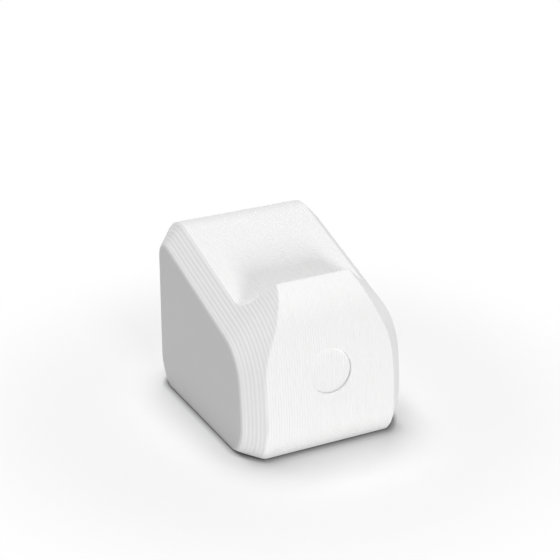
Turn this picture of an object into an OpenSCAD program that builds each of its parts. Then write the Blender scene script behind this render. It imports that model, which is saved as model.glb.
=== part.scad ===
// Desk stand for a game controller, printed in one piece
//
// A solid block that stands on its flat base. A rounded front panel rises to a lip, and
// behind the lip a seat and a rising bed carry the underside of the controller.
//
// Frame: X runs across the stand, the front looks along -Y, +Z is up. The origin is on the
// table, in the middle of the width and of the depth.
//
// Every outline is drawn in the YZ plane as a run of arcs. A direction of travel is given
// as its lean: 0 goes straight up, 90 goes straight back, 180 goes straight down.

/* [Body] */
// Width across the two flat side faces
stand_w = 57.4; // [48:0.2:72]
// Depth from the nose of the front panel to the rear face
stand_d = 76; // [66:0.5:92]
// Height of the lip above the table
lip_h = 54.6; // [50:0.2:64]

/* [Front panel] */
// Angle at which the foot of the panel leaves the table, from upright
foot_undercut = 31; // [15:1:40]
// Radius of the rounded foot
foot_r = 24; // [14:0.5:28]
// Backward lean of the panel just above its foot
panel_lean = 4; // [1:0.5:7]
// Backward lean of the panel where its brow begins
brow_lean = 11.5; // [8.5:0.5:18]
// Radius of the brow that carries the panel back to the lip
brow_r = 21.3; // [12:0.1:25]
// Lean of the brow where it ends in the lip
lip_lean = 58; // [45:1:68]

/* [Lip, seat and bed] */
// Radius of the lip's edge
lip_edge_r = 0.7; // [0.3:0.1:1.2]
// Slant of the lip's inner face, from upright
lip_back_slant = 30; // [10:1:40]
// Depth of the seat's corner below the lip
seat_depth = 9.5; // [6:0.5:13]
// Radius of the hollow of the seat
seat_r = 6; // [2:0.5:9]
// Rise of the bed towards the rear, in degrees
bed_rise = 17.3; // [10:0.1:24]
// Radius where the bed turns down into the rear face
rear_crest_r = 12; // [10:0.5:18]
// Radius of the rear foot
rear_foot_r = 24; // [14:0.5:28]

/* [Bevel and side faces] */
// How far the side outline lies inside the middle outline
bevel_run = 6.8; // [4:0.1:9]
// Angle of the bevel to the X axis
bevel_angle = 48; // [38:1:58]
// Radius of the soft edge between the bevel and a side face
side_edge_r = 2.5; // [0.5:0.1:4]
// Height at which the side outline's two feet begin to curve under
side_foot_z = 10.7; // [8:0.1:14]
// Radius of the side outline's feet
side_foot_r = 12; // [9:0.5:15]
// Lean of the side outline where its upper front corner begins
side_lean = 10; // [8:0.5:14]
// Radius of the side outline's upper front corner
side_corner_r = 14.6; // [10:0.1:18]

/* [Front recess] */
// Diameter of the plain round recess in the panel
recess_d = 14.6; // [8:0.5:20]
// Depth of the recess, measured from the panel in its middle
recess_depth = 0.9; // [0.4:0.1:2]
// Height of the middle of the recess
recess_z = 27; // [22:0.5:34]

/* [Hidden] */

// Most that one facet of an arc turns through, in degrees
facet_angle = 3;
// Most that one facet of an arc is long
facet_length = 2.5;
// Angle below the horizontal at which the side outline's feet end, under the table
foot_sweep = 85;
// Facets across the soft edge
edge_facets = 5;
// Length by which cutters run past what they cut
overrun = 5;

// Outward normal of an outline that travels at the given lean
function normal(lean) = [-cos(lean), sin(lean)];

// Direction of travel at the given lean
function travel(lean) = [sin(lean), cos(lean)];

// Point of an arc about centre, where the outline travels at the given lean. The radius of
// a hollow arc is negative.
function on_arc(centre, radius, lean) = centre + radius * normal(lean);

// Points of one arc, given as [centre, radius, first lean, last lean]
function arc_points(arc, grow = 0) =
    let (
        turn = arc[3] - arc[2],
        length = abs(arc[1] * turn) * PI / 180,
        steps = ceil(max(abs(turn) / facet_angle, length / facet_length))
    )
    [for (i = [0:steps]) on_arc(arc[0], arc[1] + grow, arc[2] + turn * i / steps)];

// Outline through a run of arcs, each arc pushed outwards by grow
function outline(arcs, grow = 0) = [for (arc = arcs) each arc_points(arc, grow)];

// Centre of an arc that carries on from another where both travel at the same lean
function next_centre(centre, radius, next_radius, lean) =
    centre + (radius - next_radius) * normal(lean);

// Crossing of two lines, each given by a point and its lean
function crossing(p, lean_p, q, lean_q) =
    p + travel(lean_p) * ((q - p) * normal(lean_q)) / (travel(lean_p) * normal(lean_q));

// Centre of an arc that rounds the corner between two lines
function corner_centre(p, lean_p, q, lean_q, radius) =
    crossing(p - radius * normal(lean_p), lean_p, q - radius * normal(lean_q), lean_q);

// Middle outline: the front panel, from the table up to the lip
front_y = -stand_d / 2;
rear_y = stand_d / 2;
foot_c = [front_y + foot_r, foot_r * sin(foot_undercut)];
panel_start_z = on_arc(foot_c, foot_r, panel_lean).y;
brow_start_z = lip_h - lip_edge_r - (brow_r - lip_edge_r) * sin(lip_lean)
    + brow_r * sin(brow_lean);
panel_r = (brow_start_z - panel_start_z) / (sin(brow_lean) - sin(panel_lean));
panel_c = next_centre(foot_c, foot_r, panel_r, panel_lean);
brow_c = next_centre(panel_c, panel_r, brow_r, brow_lean);
lip_c = next_centre(brow_c, brow_r, lip_edge_r, lip_lean);

// Middle outline: the lip's inner face, the seat, the bed and the rear
inner_lean = 180 - lip_back_slant;
bed_lean = 90 - bed_rise;
lip_back = on_arc(lip_c, lip_edge_r, inner_lean);
seat_corner = lip_back
    + travel(inner_lean) * (lip_back.y - lip_h + seat_depth) / cos(lip_back_slant);
seat_c = corner_centre(lip_back, inner_lean, seat_corner, bed_lean, -seat_r);
crest_c = corner_centre(seat_corner, bed_lean, [rear_y, 0], 180, rear_crest_r);
rear_foot_c = [rear_y - rear_foot_r, rear_foot_r * sin(foot_undercut)];
middle_arcs = [
    [foot_c, foot_r, -foot_undercut, panel_lean],
    [panel_c, panel_r, panel_lean, brow_lean],
    [brow_c, brow_r, brow_lean, lip_lean],
    [lip_c, lip_edge_r, lip_lean, inner_lean],
    [seat_c, -seat_r, inner_lean, bed_lean],
    [crest_c, rear_crest_r, bed_lean, 180],
    [rear_foot_c, rear_foot_r, 180, 180 + foot_undercut],
];

// Side outline: it lies bevel_run inside the nose, the bed and the rear of the middle one
side_nose = [front_y + bevel_run, side_foot_z];
side_top = seat_corner - bevel_run * normal(bed_lean);
lean_to_bed = normal(side_lean) * normal(bed_lean);
side_belly_r = ((side_top - side_nose) * normal(bed_lean) - side_corner_r * (1 - lean_to_bed))
    / (lean_to_bed - sin(bed_rise));
side_belly_c = side_nose + [side_belly_r, 0];
side_corner_c = next_centre(side_belly_c, side_belly_r, side_corner_r, side_lean);
side_arcs = [
    [side_nose + [side_foot_r, 0], side_foot_r, -foot_sweep, 0],
    [side_belly_c, side_belly_r, 0, side_lean],
    [side_corner_c, side_corner_r, side_lean, bed_lean],
    [crest_c, rear_crest_r - bevel_run, bed_lean, 180],
    [[rear_y - bevel_run - side_foot_r, side_foot_z], side_foot_r, 180, 180 + foot_sweep],
];

// Stations of the bevel as [depth below the side face, growth of the side outline]
edge_turn = 90 - bevel_angle;
edge_tangent = side_edge_r * tan(edge_turn / 2);
half_w = stand_w / 2;
edge_stations = [
    for (i = [0:edge_facets])
        let (turn = edge_turn * i / edge_facets)
        [side_edge_r * (1 - cos(turn)), side_edge_r * sin(turn) - edge_tangent]
];
bevel_stations = concat(edge_stations, [[half_w, half_w * tan(bevel_angle)]]);

// Stations from the left side face to the right one, as [X, growth]
across = concat(
    [for (s = bevel_stations) [s[0] - half_w, s[1]]],
    [for (i = [len(edge_stations) - 1:-1:0]) [half_w - edge_stations[i][0], edge_stations[i][1]]]
);

// Solid lofted through rings of points that all have the same count
module loft(rings) {
    count = len(rings[0]);
    last = len(rings) - 1;
    near_cap = [for (j = [count - 1:-1:0]) j];
    far_cap = [for (j = [0:count - 1]) last * count + j];
    walls = [
        for (i = [0:last - 1], j = [0:count - 1])
            let (k = (j + 1) % count)
            [i * count + j, i * count + k, (i + 1) * count + k, (i + 1) * count + j]
    ];
    polyhedron(points = [for (ring = rings) each ring], faces = concat([near_cap, far_cap], walls));
}

// The bevel all round: the side outline grows evenly from each side face to the middle
module bevel_envelope() {
    loft([
        for (s = across)
            [for (p = outline(side_arcs, s[1])) [s[0], p.x, p.y]]
    ]);
}

// The middle outline carried straight across the width
module middle_body() {
    rotate([90, 0, 90])
        linear_extrude(stand_w + 2 * overrun, center = true)
            polygon(outline(middle_arcs));
}

// Round cutter for the plain recess, square to the panel where its middle is
module recess_cutter() {
    recess_lean = asin((recess_z - panel_c.y) / panel_r);
    recess_floor = on_arc(panel_c, panel_r - recess_depth, recess_lean);
    translate([0, recess_floor.x, recess_floor.y])
        rotate([90 - recess_lean, 0, 0])
            cylinder(d = recess_d, h = recess_depth + overrun, $fn = 96);
}

module stand() {
    color("white")
        difference() {
            intersection() {
                middle_body();
                bevel_envelope();
            }
            recess_cutter();
        }
}

stand();
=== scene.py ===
"""Looks of a printed desk stand for a game controller: its layered white plastic in soft studio light.

The outlines are in millimetres and lie in the YZ plane, as [y, z]. A direction of travel is
given as its lean: 0 goes straight up, 90 goes straight back and 180 goes straight down.
"""
import math
from collections import namedtuple

import bmesh
import bpy
import numpy as np
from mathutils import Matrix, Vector


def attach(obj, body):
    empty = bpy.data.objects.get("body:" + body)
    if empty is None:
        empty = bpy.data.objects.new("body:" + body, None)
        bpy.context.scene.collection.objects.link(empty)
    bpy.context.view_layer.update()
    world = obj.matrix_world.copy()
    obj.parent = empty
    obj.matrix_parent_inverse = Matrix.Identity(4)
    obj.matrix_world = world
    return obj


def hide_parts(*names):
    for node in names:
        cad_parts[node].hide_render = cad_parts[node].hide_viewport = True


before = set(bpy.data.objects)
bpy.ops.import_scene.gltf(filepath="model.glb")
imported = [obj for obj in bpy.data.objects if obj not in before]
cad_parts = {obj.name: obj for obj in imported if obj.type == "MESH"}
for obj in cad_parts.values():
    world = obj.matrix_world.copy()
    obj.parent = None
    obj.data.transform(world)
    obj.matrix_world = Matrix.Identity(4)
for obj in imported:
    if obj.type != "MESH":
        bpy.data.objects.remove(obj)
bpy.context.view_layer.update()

MM = 0.001
# Two places on an outline nearer than this are the same
SAME_PLACE = 0.001
# Points nearer than this after a cut are joined
WELD = 0.002

# Body
STAND_W = 57.4
STAND_D = 76
LIP_H = 54.6

# Front panel
FOOT_UNDERCUT = 31
FOOT_R = 24
PANEL_LEAN = 4
BROW_LEAN = 11.5
BROW_R = 21.3
LIP_LEAN = 58

# Lip, seat, bed and rear
LIP_EDGE_R = 0.7
LIP_BACK_SLANT = 30
SEAT_DEPTH = 9.5
SEAT_R = 6
BED_RISE = 17.3
REAR_CREST_R = 12
REAR_FOOT_R = 24

# Bevel and side faces
BEVEL_RUN = 6.8
BEVEL_ANGLE = 48
SIDE_EDGE_R = 2.5
SIDE_FOOT_Z = 10.7
SIDE_FOOT_R = 12
SIDE_LEAN = 10
SIDE_CORNER_R = 14.6
FOOT_SWEEP = 85

# Front recess
RECESS_D = 14.6
RECESS_DEPTH = 0.9
RECESS_Z = 27
# Rounding of its rim, and how far that turns before it meets the panel
RECESS_RIM_R = 0.3
RECESS_RIM_TURN = 75
RECESS_RIM_STEPS = 6
RECESS_STEPS = 100
# How far its wall and its ribbed floor run past what they cut
WALL_OVERRUN = 1
FLOOR_OVERRUN = 2

# Printed layers, which stack from one side face to the other, and the grooves between them
LAYER_PITCH = 0.9
LAYER_GROOVE = 0.105
# Share by which a groove's depth varies, and how far a layer's crown lies inside the outline
LAYER_GROOVE_SPREAD = 0.25
CROWN_INSET = 0.01
LAYER_WANDER = 0.012
# Share of a layer by which the bevel goes in steps, as stacked layers do
LAYER_STEP = 0.2
# Stations of one layer as (share of the pitch, share of the groove's depth)
LAYER_SHAPE = ((0, 1), (0.2, 0.22), (0.5, 0), (0.8, 0.22))
# What decides each layer's chance differences
LAYER_SEED = 11

# Half width of the rounding where the bevel meets the middle outline
CREASE_HALF = 0.35
# Rounding of the edges that stand on the table
BASE_EDGE_R = 0.8
# The crease's half width at the table, and the height up to which it is wider than above
BASE_CREASE_HALF = 1.4
BASE_CREASE_TOP = 4
# Width of the flat ring round each side face, which keeps its shading even
FACE_RING = 0.6
# Edges that turn more sharply than this stay crisp, in degrees
CRISP_ANGLE = 35

# Spacing of the outline's points in each stretch
BASE_EDGE_SPACING = 0.15
PANEL_SPACING = 0.8
BROW_SPACING = 0.32
LIP_SPACING = 0.22
INNER_SPACING = 0.3
SEAT_SPACING = 0.45
BED_SPACING = 1.6
REAR_SPACING = 0.9
# Steps of the flat base, and of the soft edge round a side face
BASE_STEPS = 52
EDGE_STEPS = 8

# The plastic's tone, the range of single layers and of soft clouds in it, and its share of blue
PLASTIC_TONE = 0.86
SHADE_RANGE = 0.012
CLOUD_RANGE = 0.02
PLASTIC_BLUE = 0.994
# Roughness across the layers and on the side faces, and how far streaks add to it
WALL_ROUGHNESS = 0.42
FACE_ROUGHNESS = 0.36
ROUGHNESS_RANGE = 0.16
# Width over which the layers' finish gives way to the side face's, inside its edge
FINISH_START, FINISH_END = 0.5, 0.1
# Finer lines within the layers, lines of fill on the side faces, streaks and grain
FINE_PITCH, FINE_HEIGHT = 0.3, 0.004
FILL_PITCH, FILL_HEIGHT = 0.45, 0.004
STREAK_HEIGHT = 0.02
GRAIN_HEIGHT = 0.002
# How often clouds, streaks along the layers and grain vary to the metre
CLOUD_SCALE = (60, 60, 60)
STREAK_SCALE = (1100, 160, 160)
GRAIN_SCALE = (5000, 5000, 5000)

# Floor: its size and finish, and where it begins and ends to fade to white, in metres
FLOOR_SIZE = 12
FLOOR_COLOUR = (0.845, 0.845, 0.845, 1)
FLOOR_ROUGHNESS = 0.8
FLOOR_SPECULAR = 0.2
FLOOR_FADE = (0.05, 0.13)
# Reach of the painted shade that darkens the floor's colour towards the stand, in millimetres
PAINTED_SHADE_REACH = 2.5
WHITE = (1, 1, 1, 1)

# Camera: its place, how far it is turned from +Y to +X and tipped down, lens and sensor
CAMERA_PLACE = (-225.5, -441.6, 262.2)
CAMERA_TURN, CAMERA_DIP = 27.14, 23.77
CAMERA_LENS = 106.57
CAMERA_SENSOR = 36

# Lamps as (name, place and size in metres, watts), and the height they are turned to
LAMPS = (
    ("front", (-0.1, -3.9, 0.5), 1, 96),
    ("top", (0, 0.9, 3.8), 2.4, 144),
)
LAMP_AIM_Z = 30
SURROUND_STRENGTH = 0.12

HALF_W = STAND_W / 2
FRONT_Y, REAR_Y = -STAND_D / 2, STAND_D / 2
EDGE_TURN = 90 - BEVEL_ANGLE
EDGE_TANGENT = SIDE_EDGE_R * math.tan(math.radians(EDGE_TURN / 2))
BEVEL_SLOPE = math.tan(math.radians(BEVEL_ANGLE))

# An arc turns from one lean to another. Its points lie about spacing apart, and those of the
# straight run that follows it, if any, about onward apart. The radius of a hollow arc is
# negative.
Arc = namedtuple("Arc", "centre radius start end spacing onward", defaults=(None, None))


def sin_deg(angle):
    return math.sin(math.radians(angle))


def normal(lean):
    """Outward normal of an outline that travels at the given lean."""
    turn = np.radians(lean)
    return np.stack([-np.cos(turn), np.sin(turn)], axis=-1)


def travel(lean):
    """Direction of travel at the given lean."""
    turn = np.radians(lean)
    return np.stack([np.sin(turn), np.cos(turn)], axis=-1)


def next_centre(centre, radius, next_radius, lean):
    """Centre of an arc that carries on from another where both travel at the same lean."""
    return centre + (radius - next_radius) * normal(lean)


def corner_centre(p, lean_p, q, lean_q, radius):
    """Centre of an arc that rounds the corner between two lines, each a point and its lean."""
    p = p - radius * normal(lean_p)
    q = q - radius * normal(lean_q)
    along = (q - p) @ normal(lean_q) / (travel(lean_p) @ normal(lean_q))
    return p + travel(lean_p) * along


def base_edge(foot_c, foot_r, side):
    """How far a foot's arc turns under, and the centre of the rounding from it to the table."""
    lean = math.asin((foot_c[1] - BASE_EDGE_R) / (foot_r - BASE_EDGE_R))
    y = foot_c[0] + side * (foot_r - BASE_EDGE_R) * math.cos(lean)
    return math.degrees(lean), np.array([y, BASE_EDGE_R])


def outlines():
    """Arcs of the middle outline, from the front foot to the rear one, and of the side outline."""
    foot_c = np.array([FRONT_Y + FOOT_R, FOOT_R * sin_deg(FOOT_UNDERCUT)])
    foot_lean, foot_edge_c = base_edge(foot_c, FOOT_R, -1)
    panel_start_z = foot_c[1] + FOOT_R * sin_deg(PANEL_LEAN)
    brow_start_z = (
        LIP_H - LIP_EDGE_R - (BROW_R - LIP_EDGE_R) * sin_deg(LIP_LEAN)
        + BROW_R * sin_deg(BROW_LEAN)
    )
    panel_r = (brow_start_z - panel_start_z) / (sin_deg(BROW_LEAN) - sin_deg(PANEL_LEAN))
    panel_c = next_centre(foot_c, FOOT_R, panel_r, PANEL_LEAN)
    brow_c = next_centre(panel_c, panel_r, BROW_R, BROW_LEAN)
    lip_c = next_centre(brow_c, BROW_R, LIP_EDGE_R, LIP_LEAN)

    inner_lean = 180 - LIP_BACK_SLANT
    bed_lean = 90 - BED_RISE
    lip_back = lip_c + LIP_EDGE_R * normal(inner_lean)
    inner_length = (lip_back[1] - LIP_H + SEAT_DEPTH) / math.cos(math.radians(LIP_BACK_SLANT))
    seat_corner = lip_back + travel(inner_lean) * inner_length
    seat_c = corner_centre(lip_back, inner_lean, seat_corner, bed_lean, -SEAT_R)
    crest_c = corner_centre(seat_corner, bed_lean, np.array([REAR_Y, 0]), 180, REAR_CREST_R)
    rear_foot_c = np.array([REAR_Y - REAR_FOOT_R, REAR_FOOT_R * sin_deg(FOOT_UNDERCUT)])
    rear_foot_lean, rear_edge_c = base_edge(rear_foot_c, REAR_FOOT_R, 1)
    middle = [
        Arc(foot_edge_c, BASE_EDGE_R, -90, -foot_lean, BASE_EDGE_SPACING),
        Arc(foot_c, FOOT_R, -foot_lean, PANEL_LEAN, PANEL_SPACING),
        Arc(panel_c, panel_r, PANEL_LEAN, BROW_LEAN, PANEL_SPACING),
        Arc(brow_c, BROW_R, BROW_LEAN, LIP_LEAN, BROW_SPACING),
        Arc(lip_c, LIP_EDGE_R, LIP_LEAN, inner_lean, LIP_SPACING, INNER_SPACING),
        Arc(seat_c, -SEAT_R, inner_lean, bed_lean, SEAT_SPACING, BED_SPACING),
        Arc(crest_c, REAR_CREST_R, bed_lean, 180, REAR_SPACING, BED_SPACING),
        Arc(rear_foot_c, REAR_FOOT_R, 180, 180 + rear_foot_lean, REAR_SPACING),
        Arc(rear_edge_c, BASE_EDGE_R, 180 + rear_foot_lean, 270, BASE_EDGE_SPACING),
    ]

    side_nose = np.array([FRONT_Y + BEVEL_RUN, SIDE_FOOT_Z])
    side_top = seat_corner - BEVEL_RUN * normal(bed_lean)
    lean_to_bed = normal(SIDE_LEAN) @ normal(bed_lean)
    belly_r = (
        ((side_top - side_nose) @ normal(bed_lean) - SIDE_CORNER_R * (1 - lean_to_bed))
        / (lean_to_bed - sin_deg(BED_RISE))
    )
    belly_c = side_nose + np.array([belly_r, 0])
    side_corner_c = next_centre(belly_c, belly_r, SIDE_CORNER_R, SIDE_LEAN)
    rear_side_foot_c = np.array([REAR_Y - BEVEL_RUN - SIDE_FOOT_R, SIDE_FOOT_Z])
    side = [
        Arc(side_nose + np.array([SIDE_FOOT_R, 0]), SIDE_FOOT_R, -FOOT_SWEEP, 0),
        Arc(belly_c, belly_r, 0, SIDE_LEAN),
        Arc(side_corner_c, SIDE_CORNER_R, SIDE_LEAN, bed_lean),
        Arc(crest_c, REAR_CREST_R - BEVEL_RUN, bed_lean, 180),
        Arc(rear_side_foot_c, SIDE_FOOT_R, 180, 180 + FOOT_SWEEP),
    ]
    return middle, side


def sample_outline(arcs):
    """Points of the middle outline and the way out at each, which fades out at the flat base."""
    points, normals = [], []
    for index, arc in enumerate(arcs):
        length = abs(arc.radius) * math.radians(abs(arc.end - arc.start))
        leans = np.linspace(arc.start, arc.end, math.ceil(length / arc.spacing) + 1)
        first = arc.centre + arc.radius * normal(arc.start)
        if points and np.linalg.norm(points[-1] - first) < SAME_PLACE:
            points.pop()
            normals.pop()
        elif points:
            run = first - points[-1]
            count = math.ceil(np.linalg.norm(run) / arcs[index - 1].onward)
            last = points[-1]
            points += [last + run * k / count for k in range(1, count)]
            normals += [normal(arc.start)] * (count - 1)
        points += list(arc.centre + arc.radius * normal(leans))
        normals += list(normal(leans))
    ends = points[-1], points[0]
    for k in range(1, BASE_STEPS):
        share = (1 - math.cos(math.pi * k / BASE_STEPS)) / 2
        points.append(ends[0] + (ends[1] - ends[0]) * share)
        normals.append(normal(-90))
    points = np.array(points)
    insets = np.array(normals) * np.clip(points[:, 1:] / BASE_EDGE_R, 0, 1)
    return points, insets


def beyond(points, arcs):
    """How far points lie outside a convex outline, and the outline's normal nearest to each."""
    distance = np.full(len(points), -np.inf)
    nearest = np.zeros_like(points)
    for arc in arcs:
        offset = points - arc.centre
        lean = np.degrees(np.arctan2(offset[:, 1], -offset[:, 0]))
        middle, half = (arc.start + arc.end) / 2, (arc.end - arc.start) / 2
        turn = (lean - middle + 180) % 360 - 180
        facing = normal(middle + np.clip(turn, -half, half))
        reach = (offset * facing).sum(axis=1) - arc.radius
        further = reach > distance
        distance[further] = reach[further]
        nearest[further] = facing[further]
    return distance, nearest


def soft_excess(excess, half):
    """The excess where it is positive and nothing elsewhere, with a rounded turn at zero."""
    rounded = (np.clip(excess, -half, half) + half) ** 2 / (4 * half)
    return np.where(excess > half, excess, rounded)


def edge_stations():
    """Stations of one soft edge as (depth below the side face, growth of the side outline)."""
    turns = np.radians(np.linspace(0, EDGE_TURN, EDGE_STEPS + 1))
    return [
        (SIDE_EDGE_R * (1 - math.cos(t)), SIDE_EDGE_R * math.sin(t) - EDGE_TANGENT)
        for t in turns
    ]


def layer_stations(rng):
    """Stations of all layers between the soft edges, as (x, inset, growth)."""
    start = HALF_W - edge_stations()[-1][0]
    count = round(2 * start / LAYER_PITCH)
    pitch = 2 * start / count
    stations = []
    for k in range(count + 1):
        groove = LAYER_GROOVE * (1 + LAYER_GROOVE_SPREAD * rng.uniform(-1, 1))
        wander = CROWN_INSET + LAYER_WANDER * rng.uniform(0, 1)
        for share, depth in LAYER_SHAPE:
            x = -start + (k + share) * pitch
            if x > start + SAME_PLACE:
                break
            step = LAYER_STEP * (0.5 - share) * pitch if share else 0
            growth = (HALF_W - abs(x + step)) * BEVEL_SLOPE
            stations.append((x, wander + groove * depth, growth))
    return stations


def all_stations(rng):
    """Stations from the left side face to the right one, as (x, inset, growth)."""
    edge = edge_stations()[:-1]
    left = [(depth - HALF_W, CROWN_INSET, growth) for depth, growth in edge]
    right = [(HALF_W - depth, CROWN_INSET, growth) for depth, growth in reversed(edge)]
    return left + layer_stations(rng) + right


def ring(outline, side, station, floor=0):
    """The cross-section at one station, as points in space no lower than the given floor."""
    x, inset, growth = station
    points = outline[0] - inset * outline[1]
    distance, nearest = beyond(points, side)
    low = np.clip(1 - points[:, 1] / BASE_CREASE_TOP, 0, 1)
    half = CREASE_HALF + (BASE_CREASE_HALF - CREASE_HALF) * low
    points = points - soft_excess(distance - growth + inset, half)[:, None] * nearest
    past_edge = np.clip(BASE_EDGE_R - HALF_W + abs(x), 0, BASE_EDGE_R)
    lift = BASE_EDGE_R - math.sqrt(BASE_EDGE_R**2 - past_edge**2)
    points[:, 1] = np.maximum(points[:, 1], lift + floor)
    return np.column_stack([np.full(len(points), x), points])


def loft(name, rings, fans=False):
    """A closed mesh through rings of points that all have the same count."""
    count, last = len(rings[0]), len(rings) - 1
    start = last * count
    points = np.concatenate(rings)
    faces = []
    for i in range(last):
        for j in range(count):
            k = (j + 1) % count
            faces.append((i * count + j, (i + 1) * count + j, (i + 1) * count + k, i * count + k))
    near_end, far_end = list(range(count)), list(range(start + count - 1, start - 1, -1))
    for end in (near_end, far_end):
        if fans:
            middle = len(points)
            points = np.vstack([points, points[end].mean(axis=0)])
            faces += [(end[j - 1], end[j], middle) for j in range(count)]
        else:
            faces.append(tuple(end))
    mesh = bpy.data.meshes.new(name)
    mesh.from_pydata((points * MM).tolist(), [], faces)
    piece = bpy.data.objects.new(name, mesh)
    bpy.context.scene.collection.objects.link(piece)
    return piece


def combine(piece, other, operation):
    """Cuts or trims a piece by another one, which is then removed."""
    modifier = piece.modifiers.new(operation, "BOOLEAN")
    modifier.operation = operation
    modifier.solver = "MANIFOLD"
    modifier.object = other
    graph = bpy.context.evaluated_depsgraph_get()
    mesh = bpy.data.meshes.new_from_object(piece.evaluated_get(graph))
    piece.modifiers.clear()
    piece.data = mesh
    bpy.data.objects.remove(other)
    shape = bmesh.new()
    shape.from_mesh(mesh)
    bmesh.ops.remove_doubles(shape, verts=shape.verts, dist=WELD * MM)
    shape.to_mesh(mesh)
    shape.free()


def recess_cutter(panel, stations):
    """Cutter of the round recess: a wall with a rounded rim, and a floor with layers in it."""
    lean = math.degrees(math.asin((RECESS_Z - panel.centre[1]) / panel.radius))
    floor = panel.centre + (panel.radius - RECESS_DEPTH) * normal(lean)
    out, up = normal(lean), travel(lean)
    angles = np.linspace(0, 2 * math.pi, RECESS_STEPS, endpoint=False)

    def surface(radius):
        """Heights of the panel above the recess's floor, round a circle."""
        along = radius * np.sin(angles)
        return np.sqrt(panel.radius**2 - along**2) - panel.radius + RECESS_DEPTH

    def wall_ring(radius, height):
        """A circle at one height above the recess's floor, or at one height for each angle."""
        along = radius * np.sin(angles)
        heights = np.broadcast_to(height, angles.shape)
        flat = floor + along[:, None] * up + heights[:, None] * out
        return np.column_stack([radius * np.cos(angles), flat])

    wall_r = RECESS_D / 2
    wall = [wall_ring(wall_r, -WALL_OVERRUN)]
    for turn in np.radians(np.linspace(0, RECESS_RIM_TURN, RECESS_RIM_STEPS)):
        radius = wall_r + RECESS_RIM_R * (1 - math.cos(turn))
        wall.append(wall_ring(radius, surface(radius) - RECESS_RIM_R * (1 - math.sin(turn))))
    wall.append(wall_ring(wall_r + RECESS_RIM_R, RECESS_DEPTH + WALL_OVERRUN))
    cutter = loft("recess_wall", wall)

    reach = wall_r + FLOOR_OVERRUN
    line = [(x, -inset) for x, inset, _ in stations if abs(x) < reach]
    line += [(reach, RECESS_DEPTH + FLOOR_OVERRUN), (-reach, RECESS_DEPTH + FLOOR_OVERRUN)]
    ends = []
    for along in (reach, -reach):
        flat = [floor + along * up + height * out for _, height in line]
        ends.append(np.column_stack([[x for x, _ in line], flat]))
    combine(cutter, loft("recess_floor", ends), "INTERSECT")
    return cutter


def make_stand():
    """The stand, with its layers, bevels, rounded creases and round recess."""
    middle, side = outlines()
    outline = sample_outline(middle)
    stations = all_stations(np.random.default_rng(LAYER_SEED))
    rings = [ring(outline, side, station) for station in stations]
    for place, index in ((0, 0), (len(rings) + 1, -1)):
        x, inset, growth = stations[index]
        face = (x, inset, growth - FACE_RING)
        rings.insert(place, ring(outline, side, face, floor=FACE_RING))
    stand = loft("printed_stand", rings, fans=True)
    combine(stand, recess_cutter(middle[2], stations), "DIFFERENCE")
    for polygon in stand.data.polygons:
        polygon.use_smooth = True
    stand.data.set_sharp_from_angle(angle=math.radians(CRISP_ANGLE))
    return stand


class Tree:
    """The node tree of a material or world, with short ways to add and join its nodes."""

    def __init__(self, owner):
        owner.use_nodes = True
        self.nodes = owner.node_tree.nodes
        self.links = owner.node_tree.links

    def add(self, kind, inputs, **settings):
        """Adds a node. An input is a number or colour, or the output socket that feeds it."""
        node = self.nodes.new(f"ShaderNode{kind}")
        for key, value in settings.items():
            setattr(node, key, value)
        self.feed(node, inputs)
        return node

    def feed(self, node, inputs):
        """Sets or joins the inputs of a node."""
        for key, value in inputs.items():
            if isinstance(value, bpy.types.NodeSocket):
                self.links.new(value, node.inputs[key])
            else:
                node.inputs[key].default_value = value

    def maths(self, operation, first, second=0.0, third=0.0):
        """The result of one Math node."""
        return self.add("Math", {0: first, 1: second, 2: third}, operation=operation).outputs[0]

    def spread(self, value, low, high, start=0.0, end=1.0, curve="LINEAR"):
        """A value carried from start and end over to low and high."""
        inputs = {"Value": value, "From Min": start, "From Max": end, "To Min": low, "To Max": high}
        return self.add("MapRange", inputs, interpolation_type=curve).outputs["Result"]

    def noise(self, place, scale):
        """Soft noise from 0 to 1, a given number of times to the metre along each axis."""
        scaled = self.add("VectorMath", {0: place, 1: scale}, operation="MULTIPLY").outputs[0]
        return self.add("TexNoise", {"Vector": scaled, "Scale": 1}).outputs["Fac"]

    def seen(self):
        """1 for rays that show the backdrop: the camera's own, mirrored ones and those in glass."""
        rays = self.add("LightPath", {}).outputs
        mirrored = self.maths("MAXIMUM", rays["Is Glossy Ray"], rays["Is Transmission Ray"])
        return self.maths("MAXIMUM", rays["Is Camera Ray"], mirrored)


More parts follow.
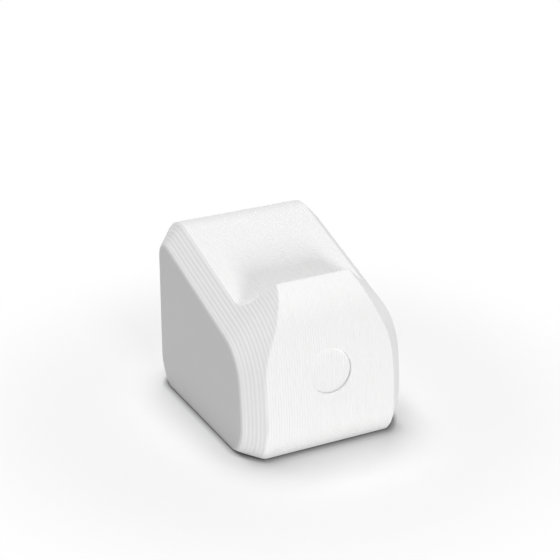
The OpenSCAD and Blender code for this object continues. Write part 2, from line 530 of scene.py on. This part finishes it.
def printed_plastic():
    """White plastic laid in layers: each a shade apart, with finer lines and grain in them."""
    material = bpy.data.materials.new("printed_plastic")
    tree = Tree(material)
    place = tree.add("TexCoord", {}).outputs["Object"]
    x, y, z = tree.add("SeparateXYZ", {0: place}).outputs
    out = tree.maths("ABSOLUTE", x)
    face_edge = (HALF_W - FINISH_START) * MM, (HALF_W - FINISH_END) * MM
    on_face = tree.spread(out, 0, 1, *face_edge, "SMOOTHSTEP")
    on_wall = tree.maths("SUBTRACT", 1, on_face)

    layer = tree.maths("FLOOR", tree.maths("DIVIDE", x, LAYER_PITCH * MM))
    shade = tree.add("TexWhiteNoise", {"W": layer}, noise_dimensions="1D").outputs["Value"]
    cloud = tree.noise(place, CLOUD_SCALE)
    tone = tree.maths("MULTIPLY_ADD", shade, SHADE_RANGE, PLASTIC_TONE - SHADE_RANGE / 2)
    tone = tree.maths("SUBTRACT", tone, CLOUD_RANGE / 2)
    tone = tree.maths("MULTIPLY_ADD", cloud, CLOUD_RANGE, tone)
    blue = tree.maths("MULTIPLY", tone, PLASTIC_BLUE)
    colour = tree.add("CombineColor", {0: tone, 1: tone, 2: blue}).outputs[0]

    streak = tree.noise(place, STREAK_SCALE)
    roughness = tree.maths("MULTIPLY_ADD", streak, ROUGHNESS_RANGE, WALL_ROUGHNESS)
    roughness = tree.maths("MULTIPLY_ADD", on_face, FACE_ROUGHNESS - WALL_ROUGHNESS, roughness)

    fine_lines = tree.maths("SINE", tree.maths("MULTIPLY", x, 2 * math.pi / (FINE_PITCH * MM)))
    aslant = tree.maths("ADD", y, z)
    fill_turn = math.pi * math.sqrt(2) / (FILL_PITCH * MM)
    fill_lines = tree.maths("SINE", tree.maths("MULTIPLY", aslant, fill_turn))
    height = tree.maths("MULTIPLY", tree.maths("MULTIPLY", fine_lines, on_wall), FINE_HEIGHT * MM)
    fill = tree.maths("MULTIPLY", fill_lines, on_face)
    height = tree.maths("MULTIPLY_ADD", fill, FILL_HEIGHT * MM, height)
    height = tree.maths("MULTIPLY_ADD", streak, STREAK_HEIGHT * MM, height)
    height = tree.maths("MULTIPLY_ADD", tree.noise(place, GRAIN_SCALE), GRAIN_HEIGHT * MM, height)
    bump = tree.add("Bump", {"Height": height, "Strength": 1, "Distance": 1}).outputs["Normal"]

    shader = tree.nodes["Principled BSDF"]
    tree.feed(shader, {"Base Color": colour, "Roughness": roughness, "Normal": bump})
    return material


def make_floor():
    """A wide pale floor, with painted shade darkening it where the stand meets it, seen to fade into
    an even white.
    """
    bpy.ops.mesh.primitive_plane_add(size=FLOOR_SIZE)
    floor = bpy.context.object
    floor.name = "floor"
    material = bpy.data.materials.new("floor")
    tree = Tree(material)
    shader = tree.nodes["Principled BSDF"]
    # Painted shade: an ambient occlusion node darkens the floor's colour close to the stand
    painted_contact_shade = tree.add("AmbientOcclusion", {"Color": FLOOR_COLOUR, "Distance": PAINTED_SHADE_REACH * MM})
    tree.feed(shader, {
        "Base Color": painted_contact_shade.outputs["Color"],
        "Roughness": FLOOR_ROUGHNESS,
        "Specular IOR Level": FLOOR_SPECULAR,
    })
    place = tree.add("TexCoord", {}).outputs["Object"]
    radius = tree.add("VectorMath", {0: place}, operation="LENGTH").outputs["Value"]
    away = tree.spread(radius, 0, 1, FLOOR_FADE[0], FLOOR_FADE[1], "SMOOTHSTEP")
    white = tree.add("Emission", {"Color": WHITE, "Strength": 1}).outputs[0]
    share = tree.maths("MULTIPLY", away, tree.seen())
    mix = tree.add("MixShader", {0: share, 1: shader.outputs[0], 2: white}).outputs[0]
    tree.feed(tree.nodes["Material Output"], {"Surface": mix})
    floor.data.materials.append(material)


def make_camera():
    """The photograph's view."""
    data = bpy.data.cameras.new("camera")
    data.lens = CAMERA_LENS
    data.sensor_width = CAMERA_SENSOR
    camera = bpy.data.objects.new("camera", data)
    camera.location = Vector(CAMERA_PLACE) * MM
    turn, dip = math.radians(CAMERA_TURN), math.radians(CAMERA_DIP)
    sight = Vector((
        math.sin(turn) * math.cos(dip),
        math.cos(turn) * math.cos(dip),
        -math.sin(dip),
    ))
    camera.rotation_euler = sight.to_track_quat("-Z", "Y").to_euler()
    bpy.context.scene.collection.objects.link(camera)
    bpy.context.scene.camera = camera


def area_light(name, place, size, power):
    """A soft square lamp at a place, turned to the stand."""
    data = bpy.data.lights.new(name, "AREA")
    data.size = size
    data.energy = power
    lamp = bpy.data.objects.new(name, data)
    lamp.location = place
    sight = Vector((0, 0, LAMP_AIM_Z * MM)) - Vector(place)
    lamp.rotation_euler = sight.to_track_quat("-Z", "Y").to_euler()
    bpy.context.scene.collection.objects.link(lamp)


def make_light():
    """Soft lamps over an even pale surrounding, which is seen as white."""
    world = bpy.data.worlds.new("studio")
    tree = Tree(world)
    strength = tree.spread(tree.seen(), SURROUND_STRENGTH, 1)
    tree.feed(tree.nodes["Background"], {"Color": WHITE, "Strength": strength})
    bpy.context.scene.world = world
    for lamp in LAMPS:
        area_light(*lamp)


stand = make_stand()
stand.data.materials.append(printed_plastic())
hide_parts("stand")
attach(stand, "root")
make_floor()
make_light()
make_camera()
bpy.context.scene.view_settings.view_transform = "Standard"
